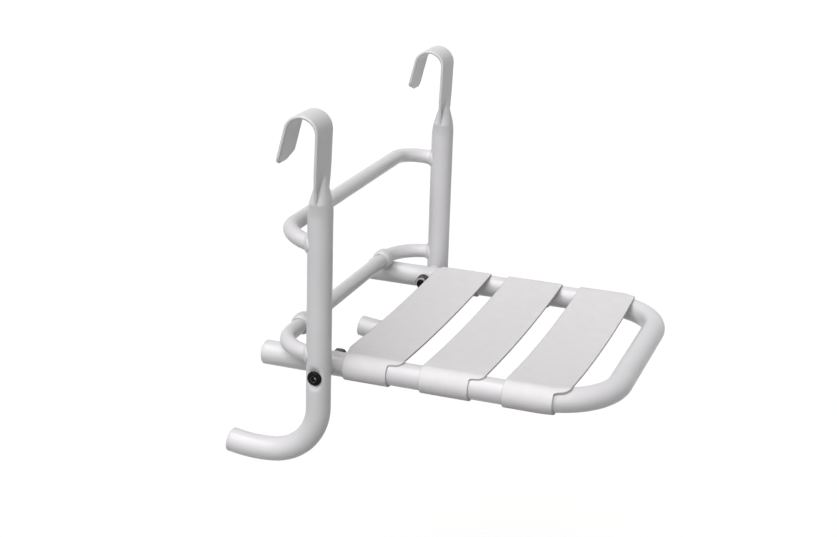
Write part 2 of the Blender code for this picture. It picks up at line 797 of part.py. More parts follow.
def main():
    clear_scene()
    hanger = anchor("hanger_axis")
    seat = anchor("seat_axis")
    halves = ((-1, "left", LEFT_SLEEVE_INSET), (1, "right", RIGHT_SLEEVE_INSET))
    for side, label, sleeve_inset in halves:
        foot_end = upright(label, side, hanger)
        plug(label + "_foot_plug", foot_end, hanger)
        bar_sleeve(label + "_bar_sleeve", side, sleeve_inset, hanger)
        pivot(label, side, hanger, seat)
    cross_bar("upper_bar", UPPER_BAR_Z, UPPER_BAR_DEPTH, UPPER_BAR_BEND_R, UPPER_BAR_RISE, hanger)
    cross_bar("lower_bar", LOWER_BAR_Z, LOWER_BAR_DEPTH, LOWER_BAR_BEND_R, 0.0, hanger)
    ends = seat_frame(seat)
    plug("left_seat_plug", (ends[0][0], -ends[0][1]), seat)
    plug("right_seat_plug", ends[1], seat)
    for place_in_row, (name, sag) in enumerate(STRAP_SAGS.items()):
        strap(name, -STRAP_FIRST - place_in_row * STRAP_PITCH, sag, seat)


main()
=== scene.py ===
"""The finished surfaces, light and camera of a folding shower seat that hangs from a grab rail.

Metres, +Z up, +Y towards the wall. Shapes are worked out in the seat pivot's own
coordinates and moved to the pivot when their mesh is made.
"""

import json

import bpy
import numpy as np
from mathutils import Matrix, Vector


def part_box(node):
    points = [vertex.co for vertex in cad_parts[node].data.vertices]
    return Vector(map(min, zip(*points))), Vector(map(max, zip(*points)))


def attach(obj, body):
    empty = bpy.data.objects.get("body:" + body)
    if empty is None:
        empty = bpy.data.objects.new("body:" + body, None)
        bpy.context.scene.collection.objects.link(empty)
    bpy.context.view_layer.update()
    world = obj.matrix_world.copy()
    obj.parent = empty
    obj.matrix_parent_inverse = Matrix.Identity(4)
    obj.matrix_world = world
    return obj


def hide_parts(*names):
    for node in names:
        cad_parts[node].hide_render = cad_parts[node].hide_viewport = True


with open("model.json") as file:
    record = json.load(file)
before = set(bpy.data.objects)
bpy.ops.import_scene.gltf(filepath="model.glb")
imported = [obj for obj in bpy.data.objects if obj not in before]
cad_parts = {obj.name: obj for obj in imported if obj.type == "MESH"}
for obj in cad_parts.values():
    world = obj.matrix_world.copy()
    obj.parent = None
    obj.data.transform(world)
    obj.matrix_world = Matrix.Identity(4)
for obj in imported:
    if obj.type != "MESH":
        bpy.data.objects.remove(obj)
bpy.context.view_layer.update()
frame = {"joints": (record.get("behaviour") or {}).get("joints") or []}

# Places taken from the frame
PIVOT = np.array(frame["joints"][0]["pos_m"])
UPRIGHT_X = sum(corner.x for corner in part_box("right_upright")) / 2
SEAT_X = sum(corner.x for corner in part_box("right_seat_plug")) / 2
LOWER_BAR_Z = sum(corner.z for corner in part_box("right_bar_sleeve")) / 2 - PIVOT[2]

# Clearance between pieces
GAP = 0.0003

# Tubes and bars
TUBE_R = 0.014
TUBE_WALL = 0.002
BORE_DEPTH = 0.012
BAR_R = 0.009

# Uprights, from the pivot up to the hook's tip and down to the foot's end
RAIL_D = 0.032
RAIL_PLAY = 0.0003
HOOK_T = 0.004
HOOK_W = 0.0418
HOOK_LEAN = np.radians(1.9)
HOOK_SPREAD = np.radians(14.0)
HOOK_TIP = 0.0413
TIP_CORNER = 0.008
TIP_SLANT = 0.022
TIP_BLEND = 0.02
TONGUE_TAPER = 0.9
TONGUE_SINK = 1.6
TONGUE_PEAK = 0.2
TONGUE_END = 0.233
WIDEN_DELAY = 1.3
LEAN_START = 0.175
LEAN_BEND_R = 0.300
PRESS_START = 0.186
LIP_START = 0.200
PRESS_END = 0.240
FOOT_DROP = 0.0392
FOOT_BEND_R = 0.062
FOOT_BEND = np.radians(82.0)
FOOT_CURL_R = 0.160
FOOT_CURL = np.radians(16.0)
FOOT_END = 0.0085

# Cross bars
UPPER_BAR_Z = 0.150
UPPER_BAR_DEPTH = 0.050
UPPER_BAR_BEND_R = 0.043
UPPER_BAR_RISE = np.radians(9.0)
LOWER_BAR_DEPTH = 0.0565
LOWER_BAR_BEND_R = 0.053
WELD_REACH = 0.005
WELD_RISE = 0.0024
WELD_RIPPLE = 0.00015
WELD_RIPPLES = 24
BEAD_PLACE = 0.6
BEAD_SHARPNESS = 2.5

# Sleeves on the lower bar, and how far inside the seat's tubes they end
SLEEVE_WALL = 0.0033
SLEEVE_LENGTH = 0.021
SLEEVE_TAPER = 0.0065
SLEEVE_LIP = 0.0006
SLEEVE_INSETS = {"left": 0.0357, "right": 0.0098}

# Seat frame
SEAT_FRONT = 0.316
SEAT_REAR = 0.080
SEAT_BEND_R = 0.076
BEND_OVAL = 0.05

# Straps
STRAP_T = 0.0019
STRAP_PLAY = 0.0004
STRAP_W = 0.073
STRAP_PITCH = 0.0955
STRAP_FIRST = 0.014
WRAP_W = 0.057
STRAP_SAGS = {"rear_strap": 0.0045, "middle_strap": 0.0055, "front_strap": 0.0075}
REAR_CUTS = {"rear_strap": 0.0045, "middle_strap": 0.0, "front_strap": 0.0}
CUT_RUN = 0.010
STEP_TURN = np.radians(30.0)
WEB_CORNER = (0.0075, 0.0085)
WRAP_CORNER = (0.0030, 0.0075)
LAP_BEND_R = 0.005
LAP = 0.016
EDGE_SQUARE = 0.6
# Painted shade on the wrap's edges, as a share of that on the web's edges
WRAP_EDGE_SHADE = 0.4

# How a strap follows the frame's front bend: its web towards the tube, and its wrap below it
WEB_FOLLOWS = (3.0, 1.7)
WRAP_FOLLOWS = (1.4, 0.4)
BEND_LIMIT = 0.99

# Pivot hardware
POCKET_PLAY = 0.0005
POCKET_RISE = 0.0085
POCKET_SOFTNESS = 0.0006
BOLT_R = 0.005
BOLT_PLAY = 0.0003
BOLT_HEAD_R = 0.0084
BOLT_HEAD_H = 0.0043
BOLT_HEAD_RIM = 0.0012
SOCKET_R = 0.0035
SOCKET_DEPTH = 0.0022
THREAD_PITCH = 0.0015
THREAD_DEPTH = 0.0008
BOLT_END = 0.0035
SPACER_R = 0.0088
FLANGE_R = 0.0088
FLANGE_T = 0.002
BUSH_R = 0.0068
BUSH_LENGTH = 0.008
WASHER_R = 0.009
WASHER_T = 0.002
NUT_R = 0.00924
NUT_CONE = np.radians(30.0)
NUT_H = 0.0095
NUT_COLLAR_H = 0.0022
NUT_COLLAR_TOP_R = 0.0066
EDGE_BREAK = 0.0003

# Where a socket has a painted highlight, from the bolt's axis, and where a nut's collar has one
SOCKET_GLINT_SPOT = (-0.0015, 0.0007)
SPOT_FADE = (0.0019, 0.0008)
RIM_FADE = (0.0006, 0.0001)
RIM_GLINT = 0.12
COLLAR_FADE = (0.0016, 0.0004)
# Painted highlight on a nut's collar
COLLAR_GLINT = 0.6

# End plugs
PLUG_HEAD = 0.0036
PLUG_ROUND = 0.0028
PLUG_CUT = 0.0048
PLUG_STEM = 0.009
PLUG_STEM_R = 0.0112

# Fineness of the surfaces, and shares at which flat ends have rings
TUBE_SIDES = 96
BAR_SIDES = 64
SMALL_SIDES = 72
TIP_STEPS = 21
SLEEVE_STEPS = 60
EDGE_STEPS = 110
CORNER_STEPS = 15
WIDTH_STEPS = 40
RIM_STEPS = 11
PLUG_STEPS = 12
NUT_STEPS = 24
COLLAR_STEPS = 10
DOME_STEPS = 16
THREAD_STEPS = 220
WALL_RINGS = (0.12, 0.5, 0.88, 1.0)
PLUG_RINGS = (0.75, 0.4, 0.1)
SOCKET_RINGS = (0.35, 0.85)
THREAD_END_RINGS = (0.8, 0.3)
LINE_STEP = 0.0012
POCKET_STEP = 0.0005
FINE_STEPS = 6000
SHARP = np.radians(32.0)
TINY = 1e-6

X_AXIS = np.array((1.0, 0.0, 0.0))
Y_AXIS = np.array((0.0, 1.0, 0.0))
Z_AXIS = np.array((0.0, 0.0, 1.0))

# Sizes that follow from the ones above
BORE_R = TUBE_R - TUBE_WALL
HOOK_MID_R = RAIL_D / 2 + RAIL_PLAY + HOOK_T / 2
HOLE_R = BOLT_R + BOLT_PLAY
POCKET_R = BOLT_HEAD_R + POCKET_PLAY
INSET = UPRIGHT_X - SEAT_X
POCKET_FLOOR = np.sqrt(TUBE_R**2 - POCKET_R**2)
BUSH_FACE = TUBE_R + GAP + FLANGE_T
SIDES = {"left": -1, "right": 1}


def shell(name, rings, looped=False):
    """A closed mesh over an array of rings, rows by columns by 3.

    Each ring is joined to the next. The end rings close on their own middle points,
    or on each other where the rings are looped. The faces are turned round where the
    volume that they enclose, a sum of triple products, comes out negative.
    """
    rows, columns = rings.shape[:2]
    index = np.arange(rows * columns).reshape(rows, columns)
    upper = np.roll(index, -1, axis=0) if looped else index[1:]
    lower = index if looped else index[:-1]
    beside_lower = np.roll(lower, -1, axis=1)
    beside_upper = np.roll(upper, -1, axis=1)
    quads = np.stack([lower, beside_lower, beside_upper, upper], axis=-1).reshape(-1, 4)
    points = rings.reshape(-1, 3)
    caps = np.zeros((0, 3), int)
    if not looped:
        points = np.concatenate([points, rings[[0, -1]].mean(axis=1)])
        first, last = index[0], index[-1]
        low_pole = np.full(columns, rows * columns)
        caps = np.concatenate(
            [
                np.stack([np.roll(first, -1), first, low_pole], axis=-1),
                np.stack([last, np.roll(last, -1), low_pole + 1], axis=-1),
            ]
        )
    a, b, c, d = (points[quads[:, corner]] for corner in range(4))
    volume = np.sum(a * np.cross(b, c)) + np.sum(a * np.cross(c, d))
    e, f, g = (points[caps[:, corner]] for corner in range(3))
    if volume + np.sum(e * np.cross(f, g)) < 0:
        quads = quads[:, ::-1]
        caps = caps[:, ::-1]
    mesh = bpy.data.meshes.new(name)
    mesh.from_pydata((points + PIVOT).tolist(), [], quads.tolist() + caps.tolist())
    mesh.update()
    mesh.shade_smooth()
    mesh.set_sharp_from_angle(angle=SHARP)
    piece = bpy.data.objects.new(name, mesh)
    bpy.context.scene.collection.objects.link(piece)
    return piece


def dress(piece, body, material, slot, *nodes):
    """Finishes a piece: the body it moves with, its material and the nodes it stands for."""
    piece.data.materials.append(material)
    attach(piece, body)
    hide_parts(*nodes)


def bent_line(start, heading, runs, along):
    """Points and heading angles of a flat line, at distances along it.

    Each run is a length and the angle that the line turns by over it, at an even rate.
    """
    lengths, bends = np.array(runs).T
    ends = np.concatenate([[0.0], np.cumsum(lengths)])
    angles = heading + np.concatenate([[0.0], np.cumsum(bends)])
    fine = np.unique(np.concatenate([np.linspace(0.0, ends[-1], FINE_STEPS), ends]))
    angle = np.interp(fine, ends, angles)
    middle = (angle[1:] + angle[:-1]) / 2
    moves = np.diff(fine)[:, None] * np.stack([np.cos(middle), np.sin(middle)], axis=1)
    points = np.concatenate([[start], start + np.cumsum(moves, axis=0)])
    found = np.stack([np.interp(along, fine, points[:, axis]) for axis in (0, 1)], axis=-1)
    return found, np.interp(along, ends, angles)


def even_steps(length, step):
    """Even distances from 0 to a length, about a step apart."""
    return np.linspace(0.0, length, int(np.ceil(length / step)) + 1)


def full_length(runs):
    """The length of all of a line's runs."""
    return sum(length for length, _ in runs)


def carry(line, headings, plane, across, inward):
    """Rings of a section carried along a flat line.

    The section's first offset runs along the plane's normal and its second to the
    left of the line's heading. The plane is its origin, two axes and normal.
    """
    origin, first, second, normal = plane
    middle = origin + line[:, :1] * first + line[:, 1:] * second
    left = -np.sin(headings)[:, None] * first + np.cos(headings)[:, None] * second
    return middle[:, None] + across[..., None] * normal + inward[..., None] * left[:, None]


def turns(sides):
    """Even angles round a full turn."""
    return 2 * np.pi * np.arange(sides) / sides


def smoothstep(value):
    """A rise from 0 to 1 with level ends: three times the square less twice the cube."""
    held = np.clip(value, 0.0, 1.0)
    return held**2 * (3 - 2 * held)


def turned(radius, height, origin, axis, across):
    """Rings about an axis, from radii and heights that may also change round the ring."""
    turn = turns(SMALL_SIDES)
    radius = np.reshape(radius, (len(height), -1, 1))
    height = np.reshape(height, (len(height), -1, 1))
    round_it = np.cos(turn)[:, None] * across + np.sin(turn)[:, None] * np.cross(axis, across)
    return origin + height * axis + radius * round_it


def pierce(piece, radius, middle):
    """Cuts a straight round hole along X through a piece, and keeps the result as its mesh."""
    reach = (-2 * TUBE_R, 2 * TUBE_R)
    cutter = shell("cutter", turned(np.full(2, radius), reach, middle, X_AXIS, Y_AXIS))
    boolean = piece.modifiers.new("hole", "BOOLEAN")
    boolean.operation = "DIFFERENCE"
    boolean.solver = "EXACT"
    boolean.object = cutter
    graph = bpy.context.evaluated_depsgraph_get()
    cut_mesh = bpy.data.meshes.new_from_object(piece.evaluated_get(graph))
    cut_mesh.name = piece.name
    piece.modifiers.clear()
    piece.data = cut_mesh
    bpy.data.objects.remove(cutter)


def foot_line():
    """The foot's middle line, from where the upright starts to bend to the foot's end."""
    runs = [
        (FOOT_BEND_R * FOOT_BEND, FOOT_BEND),
        (FOOT_CURL_R * FOOT_CURL, FOOT_CURL),
        (FOOT_END, 0.0),
    ]
    along = even_steps(full_length(runs), LINE_STEP)
    return bent_line((0.0, -FOOT_DROP), -np.pi / 2, runs, along)


def stalk_line():
    """The upright's middle line above the foot, its headings and its distances to the hook's tip.

    Its points lie closer together at the bolt's pocket and at the tip's round end.
    """
    lean_rise = -PIVOT[2] - LEAN_START - HOOK_MID_R * np.sin(HOOK_LEAN)
    lean_run = (lean_rise - LEAN_BEND_R * np.sin(HOOK_LEAN)) / np.cos(HOOK_LEAN)
    arch = HOOK_LEAN + np.pi - HOOK_SPREAD
    runs = [
        (FOOT_DROP + LEAN_START, 0.0),
        (LEAN_BEND_R * HOOK_LEAN, HOOK_LEAN),
        (lean_run, 0.0),
        (HOOK_MID_R * arch, -arch),
        (HOOK_TIP, 0.0),
    ]
    length = full_length(runs)
    even = even_steps(length, LINE_STEP)
    pocket = FOOT_DROP + even_steps(4 * POCKET_R, POCKET_STEP) - 2 * POCKET_R
    tip = length - HOOK_T * np.linspace(0.0, 1.0, TIP_STEPS) ** 2
    along = np.unique(np.concatenate([even, pocket, tip]))
    points, headings = bent_line((0.0, -FOOT_DROP), np.pi / 2, runs, along)
    return points, headings, length - along


def strip_edge(across, reach):
    """Half the pressed strip's thickness at a distance from its middle, with round edges."""
    lip = HOOK_T / 2
    edge = np.maximum(np.abs(across) - (reach - lip), 0.0)
    return np.sqrt(np.maximum(lip**2 - edge**2, 0.0))


def pressed_sections(side, height, from_tip):
    """Sections of the tube from round, through the pressed zone, to the hook's tip.

    The round first widens by a sine law and thins by a power law. Then flat lips grow
    in from both edges, while the bulge between them narrows to a tongue, sinks and goes
    from an ellipse towards a peak. The tip's outer corner is a quarter circle, and its
    inner one a slanting cut that a hyperbola leads into.
    """
    turn = turns(TUBE_SIDES)
    press = np.clip((height - PRESS_START) / (PRESS_END - PRESS_START), 0.0, 1.0)[:, None]
    sink = np.clip((height - PRESS_START) / (TONGUE_END - PRESS_START), 0.0, 1.0)[:, None]
    lips = np.clip((height - LIP_START) / (TONGUE_END - LIP_START), 0.0, 1.0)[:, None]
    into_tip = (1 - from_tip / TIP_CORNER)[:, None]
    pressed = TUBE_R + (HOOK_W / 2 - TUBE_R) * np.sin(press**WIDEN_DELAY * np.pi / 2)
    outer = pressed - TIP_CORNER * (1 - np.sqrt(1 - np.clip(into_tip, 0.0, 1.0) ** 2))
    inner = pressed - TIP_SLANT * (into_tip + np.sqrt(into_tip**2 + TIP_BLEND)) / 2
    reach = (outer + inner) / 2
    nose = np.maximum(HOOK_T / 2 - from_tip, 0.0)[:, None] / (HOOK_T / 2)
    bulge_w = np.maximum(reach * (1 - lips) ** TONGUE_TAPER, TINY)
    bulge_h = HOOK_T / 2 + (TUBE_R - HOOK_T / 2) * (1 - sink**TONGUE_SINK)
    across = reach * np.cos(turn)
    inside = np.clip(1 - (across / bulge_w) ** 2, 0.0, 1.0)
    bulge = bulge_h * inside ** (0.5 + TONGUE_PEAK * lips)
    thick = np.maximum(strip_edge(across, reach), bulge) * np.sqrt(1 - nose**2)
    face = np.where(np.abs(np.sin(turn)) < TINY, 0.0, np.sign(np.sin(turn)))
    return across + side * (outer - inner) / 2, thick * face


def upright(label, side, look):
    """An upright: foot, round tube, pressed zone, hook arch and tip, as one carried section.

    On its outer side, round the bolt, the tube is pushed in to a flat seat. What is
    pushed in fades out by a square of the distance from the seat's rim.
    """
    foot, foot_headings = foot_line()
    stalk, stalk_headings, from_tip = stalk_line()
    line = np.concatenate([foot[::-1], stalk[1:]])
    headings = np.concatenate([foot_headings[::-1] + np.pi, stalk_headings[1:]])
    beyond = np.concatenate([np.full(len(foot), from_tip[0]), from_tip[1:]])
    height = np.where(line[:, 0] > TUBE_R, np.where(line[:, 1] < 0, 0.0, 1.0), line[:, 1])
    across, inward = pressed_sections(side, height, beyond)

    proud = side * across - POCKET_FLOOR
    pushed = (proud + np.hypot(proud, POCKET_SOFTNESS)) / 2
    past_rim = (np.hypot(inward, line[:, 1:]) - POCKET_R) / POCKET_RISE
    across = across - side * pushed * (1 - np.clip(past_rim, 0.0, 1.0)) ** 2

    middle = side * UPRIGHT_X * X_AXIS
    rings = carry(line, headings, (middle, Y_AXIS, Z_AXIS, X_AXIS), across, inward)
    foot_end = open_end(rings[0], headings[0] + np.pi, Y_AXIS, Z_AXIS)
    piece = shell(label + "_upright_tube", np.concatenate([foot_end[::-1], rings]))
    pierce(piece, HOLE_R, middle)
    dress(piece, "hanger", look, "white_coating", label + "_upright", label + "_hook")


def open_end(ring, heading, first, second):
    """Rings that turn in over a tube's cut end and run down its bore to a stop."""
    outwards = np.cos(heading) * first + np.sin(heading) * second
    middle = ring.mean(axis=0)
    spokes = ring - middle
    wall = 1 - BORE_R / TUBE_R
    shares = 1 - wall * np.array(WALL_RINGS)
    proud = EDGE_BREAK * np.array((1.0, 1.0, 1.0, 0.0))
    rim = middle + shares[:, None, None] * spokes + proud[:, None, None] * outwards
    stop = middle + (1 - wall) * spokes - BORE_DEPTH * outwards
    return np.concatenate([rim, stop[None]])


def bar_rings(height, depth, bend_r, rise):
    """A bar bent into a shallow U behind the uprights, with a rippled fillet at its welds.

    The fillet is the square of each point's nearness to the upright's surface, and the
    ripple a sine round the bar, strongest where the bead is.
    """
    back = np.array((0.0, np.cos(rise), np.sin(rise)))
    start = min(TUBE_R, depth - bend_r) / 2
    lead = depth - bend_r - start
    bend = (bend_r * np.pi / 2, -np.pi / 2)
    runs = [(lead, 0.0), bend, (2 * (UPRIGHT_X - bend_r), 0.0), bend, (lead, 0.0)]
    length = full_length(runs)
    dense = even_steps(2 * TUBE_R + WELD_REACH, POCKET_STEP)
    along = np.unique(np.concatenate([even_steps(length, LINE_STEP), dense, length - dense]))
    line, headings = bent_line((-UPRIGHT_X, start), np.pi / 2, runs, along)
    plane = (np.array((0.0, 0.0, height)), X_AXIS, back, np.cross(X_AXIS, back))
    turn = turns(BAR_SIDES)
    even = np.ones((len(line), 1))
    plain = carry(line, headings, plane, even * BAR_R * np.cos(turn), even * BAR_R * np.sin(turn))
    from_upright = np.hypot(UPRIGHT_X - np.abs(plain[..., 0]), plain[..., 1]) - TUBE_R
    near = np.clip(1 - from_upright / WELD_REACH, 0.0, 1.0)
    on_bead = np.clip(1 - np.abs(near - BEAD_PLACE) * BEAD_SHARPNESS, 0.0, 1.0)
    ripple = WELD_RIPPLE * on_bead * np.sin(WELD_RIPPLES * turn)
    radius = BAR_R + WELD_RISE * near**2 + ripple
    return carry(line, headings, plane, radius * np.cos(turn), radius * np.sin(turn))


def cross_bars(look):
    """Both cross bars. The upper one's bend also rises behind the uprights."""
    upper = bar_rings(UPPER_BAR_Z, UPPER_BAR_DEPTH, UPPER_BAR_BEND_R, UPPER_BAR_RISE)
    lower = bar_rings(LOWER_BAR_Z, LOWER_BAR_DEPTH, LOWER_BAR_BEND_R, 0.0)
    dress(shell("upper_bar_tube", upper), "hanger", look, "white_coating", "upper_bar")
    dress(shell("lower_bar_tube", lower), "hanger", look, "white_coating", "lower_bar")


def bar_sleeve(label, side, look):
    """A sleeve round the lower bar and its bend, thinned at both ends by a parabola.

    Its rings run along the outside and back through the bore.
    """
    bend_start = UPRIGHT_X - LOWER_BAR_BEND_R
    outer_x = SEAT_X - SLEEVE_INSETS[label]
    x = np.linspace(outer_x - SLEEVE_LENGTH, outer_x, SLEEVE_STEPS)
    turn = np.arcsin(np.clip((x - bend_start) / LOWER_BAR_BEND_R, 0.0, 1.0))
    y = LOWER_BAR_DEPTH - LOWER_BAR_BEND_R * (1 - np.cos(turn))
    line = np.stack([side * x, y], axis=1)
    headings = np.where(side > 0, -turn, np.pi + turn)
    along = np.concatenate([[0.0], np.cumsum(np.hypot(np.diff(x), np.diff(y)))])
    from_end = np.minimum(along, along[-1] - along)
    thinned = np.maximum(1 - from_end / SLEEVE_TAPER, 0.0) ** 2
    outer = BAR_R + GAP + SLEEVE_WALL - (SLEEVE_WALL - SLEEVE_LIP) * thinned
    inner = np.full(len(x), BAR_R + GAP)
    line = np.concatenate([line, line[::-1]])
    headings = np.concatenate([headings, headings[::-1]])
    radius = np.concatenate([outer, inner])[:, None]
    plane = (np.array((0.0, 0.0, LOWER_BAR_Z)), X_AXIS, Y_AXIS, Z_AXIS)
    turn = turns(BAR_SIDES)
    rings = carry(line, headings, plane, radius * np.cos(turn), radius * np.sin(turn))
    piece = shell(label + "_bar_sleeve_skin", rings, looped=True)
    dress(piece, "hanger", look, "white_plastic", label + "_bar_sleeve")


def seat_tube(look):
    """The seat's U-shaped tube.

    In the bends its section goes oval, by the product of its heading's sine and cosine.
    """
    side_run = SEAT_REAR + SEAT_FRONT - SEAT_BEND_R
    bend = (SEAT_BEND_R * np.pi / 2, np.pi / 2)
    runs = [(side_run, 0.0), bend, (2 * (SEAT_X - SEAT_BEND_R), 0.0), bend, (side_run, 0.0)]
    along = even_steps(full_length(runs), LINE_STEP)
    line, headings = bent_line((-SEAT_X, SEAT_REAR), -np.pi / 2, runs, along)
    turn = turns(TUBE_SIDES)
    oval = 1 - BEND_OVAL * np.abs(np.sin(2 * headings))[:, None]
    across = np.tile(TUBE_R * np.cos(turn), (len(line), 1))
    inward = TUBE_R * oval * np.sin(turn)
    plane = (np.zeros(3), X_AXIS, Y_AXIS, Z_AXIS)
    rings = carry(line, headings, plane, across, inward)
    first = open_end(rings[0], headings[0] + np.pi, X_AXIS, Y_AXIS)[::-1]
    last = open_end(rings[-1], headings[-1], X_AXIS, Y_AXIS)
    piece = shell("seat_frame_tube", np.concatenate([first, rings, last]))
    for side in SIDES.values():
        pierce(piece, BUSH_R + GAP, side * SEAT_X * X_AXIS)
    dress(piece, "seat", look, "white_coating", "seat_frame")


def frame_shift(y):
    """How far the seat's bent tube has moved in towards the middle at y."""
    past = np.clip((SEAT_BEND_R - SEAT_FRONT - y) / SEAT_BEND_R, 0.0, BEND_LIMIT)
    return SEAT_BEND_R * (1 - np.sqrt(1 - past**2))


def strap_line(sag):
    """The right half of a strap's side view: distances, points and the distance of its narrowing.

    A parabola leaves the middle level and meets the wrap's circle without a corner. The
    wrap runs round the tube, turns in under the web and ends in a short lap.
    """
    wrap_r = TUBE_R + STRAP_PLAY + STRAP_T / 2
    rise = np.arctan(2 * sag / SEAT_X)
    meet = np.array((SEAT_X - wrap_r * np.sin(rise), wrap_r * np.cos(rise)))
    curve = np.tan(rise) / (2 * meet[0])
    lap_x = SEAT_X - wrap_r - LAP_BEND_R
    lap_z = meet[1] - curve * (meet[0] ** 2 - lap_x**2) - STRAP_T - GAP / 2
    runs = [
        (wrap_r * (3 * np.pi / 2 + rise), -(3 * np.pi / 2 + rise)),
        (lap_z - LAP_BEND_R, 0.0),
        (LAP_BEND_R * (np.pi / 2 + rise), np.pi / 2 + rise),
        (LAP, 0.0),
    ]
    wrap, _ = bent_line(meet, rise, runs, np.linspace(0.0, full_length(runs), FINE_STEPS))
    web_x = np.linspace(0.0, meet[0], FINE_STEPS)[:-1]
    web = np.stack([web_x, meet[1] - curve * (meet[0] ** 2 - web_x**2)], axis=1)
    points = np.concatenate([web, wrap])
    steps = np.hypot(*np.diff(points, axis=0).T)
    along = np.concatenate([[0.0], np.cumsum(steps)])
    narrows = along[len(web)] + wrap_r * (rise + STEP_TURN)
    return along, points, narrows


def strap_outline(length, narrows):
    """The cut strap's front edge on its right half, as distances and widths.

    Full width along the web, a quarter ellipse into the step, a quarter ellipse out of
    it and the wrap's width to the end.
    """
    turn = np.linspace(0.0, np.pi / 2, CORNER_STEPS)
    web_a, web_c = WEB_CORNER
    wrap_a, wrap_c = WRAP_CORNER
    web = np.linspace(0.0, narrows - web_a, EDGE_STEPS)[:-1]
    wrap = np.linspace(narrows + wrap_a, length, EDGE_STEPS)[1:]
    into_step = narrows - web_a * (1 - np.sin(turn))
    out_of_step = narrows + wrap_a * (1 - np.cos(turn))[1:]
    along = np.concatenate([web, into_step, out_of_step, wrap])
    width = np.concatenate(
        [
            np.full(len(web), STRAP_W),
            STRAP_W - web_c * (1 - np.cos(turn)),
            WRAP_W + wrap_c * (1 - np.sin(turn))[1:],
            np.full(len(wrap), WRAP_W),
        ]
    )
    return along, width


def strap_middle(rear_y, along, width, strap_side, narrows):
    """The strap's middle surface, from distances along and across it.

    In front, the wrap and the web follow the frame's bend inwards.
    """
    reach = np.abs(along)
    side_along, side_points = strap_side
    x = np.interp(reach, side_along, side_points[:, 0])
    z = np.interp(reach, side_along, side_points[:, 1])
    y = rear_y - width
    outer_shift = np.maximum(frame_shift(y) - frame_shift(rear_y - WRAP_W), 0.0)
    past_top = np.clip((reach - narrows) / (np.pi * TUBE_R), 0.0, 1.0)
    gain, delay = WEB_FOLLOWS
    shift = smoothstep(x / SEAT_X * gain - delay) * outer_shift
    gain, delay = WRAP_FOLLOWS
    shift = shift + smoothstep(past_top * gain - delay) * frame_shift(y)
    return np.stack([np.sign(along) * (x - shift), y, z], axis=-1)


def strap_rings(middle):
    """Rings round the strap: top, front edge, underside and rear edge.

    The edges are squarish rounds, by a power of sine and cosine.
    """
    half = STRAP_T / 2
    along_strap = np.gradient(middle, axis=0)
    normal = np.cross(np.gradient(middle, axis=1), along_strap)
    normal /= np.linalg.norm(normal, axis=-1, keepdims=True)
    turn = np.linspace(0.0, np.pi, RIM_STEPS)[1:-1]
    bow_up = np.sign(np.cos(turn)) * np.abs(np.cos(turn)) ** EDGE_SQUARE
    bow_out = np.sin(turn) ** EDGE_SQUARE
    rims = []
    for column, outwards in ((-1, -1.0), (0, 1.0)):
        up = normal[:, column]
        out = np.cross(up, along_strap[:, column]) * outwards
        out /= np.linalg.norm(out, axis=-1, keepdims=True)
        bow = bow_up[:, None] * up[:, None] + bow_out[:, None] * out[:, None]
        rims.append(middle[:, column, None] + half * bow)
    front_rim, rear_rim = rims
    top = middle + half * normal
    under = middle - half * normal
    return np.concatenate([top, front_rim, under[:, ::-1], rear_rim[:, ::-1]], axis=1)


def strap(name, rear_y, sag, rear_cut, look):
    """A woven strap: a cut outline laid along the strap's side view and thickened.

    The rear edge is cut back smoothly at the wrap.
    """
    side_along, side_points, narrows = strap_line(sag)
    length = side_along[-1]
    edge_along, edge_width = strap_outline(length, narrows)
    even_along = (edge_along + np.linspace(0.0, length, len(edge_along))) / 2
    half = STRAP_T / 2
    share = np.linspace(0.0, 1.0, WIDTH_STEPS)
    along = even_along[:, None] * (1 - share) + edge_along[:, None] * share
    cut = rear_cut * smoothstep((edge_along - narrows) / CUT_RUN + 0.5)
    width = half + cut[:, None] + (edge_width - 2 * half - cut)[:, None] * share
    along = np.concatenate([-along[:0:-1], along])
    width = np.concatenate([width[:0:-1], width])

    rings = strap_rings(strap_middle(rear_y, along, width, (side_along, side_points), narrows))
    piece = shell(name + "_web", rings)
    lay_pattern(piece, rings, along, width)
    dress(piece, "seat", look, "strap_web", name)


def lay_pattern(piece, rings, along, width):
    """Writes the strap's own coordinates, distance along it and across it, and marks its edges for
    painted shade.
    """
    rim_columns = RIM_STEPS - 2
    front = np.stack([along[:, -1:], width[:, -1:]], axis=-1).repeat(rim_columns, axis=1)
    rear = np.stack([along[:, :1], width[:, :1]], axis=-1).repeat(rim_columns, axis=1)
    face = np.stack([along, width], axis=-1)
    flat = np.concatenate([face, front, face[:, ::-1], rear], axis=1).reshape(-1, 2)
    ends = np.stack([flat[: rings.shape[1]].mean(axis=0), flat[-rings.shape[1] :].mean(axis=0)])
    flat = np.concatenate([flat, ends])
    corners = np.zeros(len(piece.data.loops), int)
    piece.data.loops.foreach_get("vertex_index", corners)
    layer = piece.data.uv_layers.new(name="strap")
    layer.data.foreach_set("uv", flat[corners].ravel().astype(np.float32))
    row = np.zeros(rings.shape[1])
    row[face.shape[1] : face.shape[1] + rim_columns] = 1.0
    row[-rim_columns:] = 1.0
    # Painted shade on the rims: full along the web, a smaller share along the wrap
    strength = np.where(np.abs(along[:, -1:]) < SEAT_X, 1.0, WRAP_EDGE_SHADE)
    edge_shade = np.concatenate([(row * strength).ravel(), [WRAP_EDGE_SHADE, WRAP_EDGE_SHADE]])
    mark = piece.data.attributes.new("painted_edge_shade", "FLOAT", "POINT")
    mark.data.foreach_set("value", edge_shade.astype(np.float32))


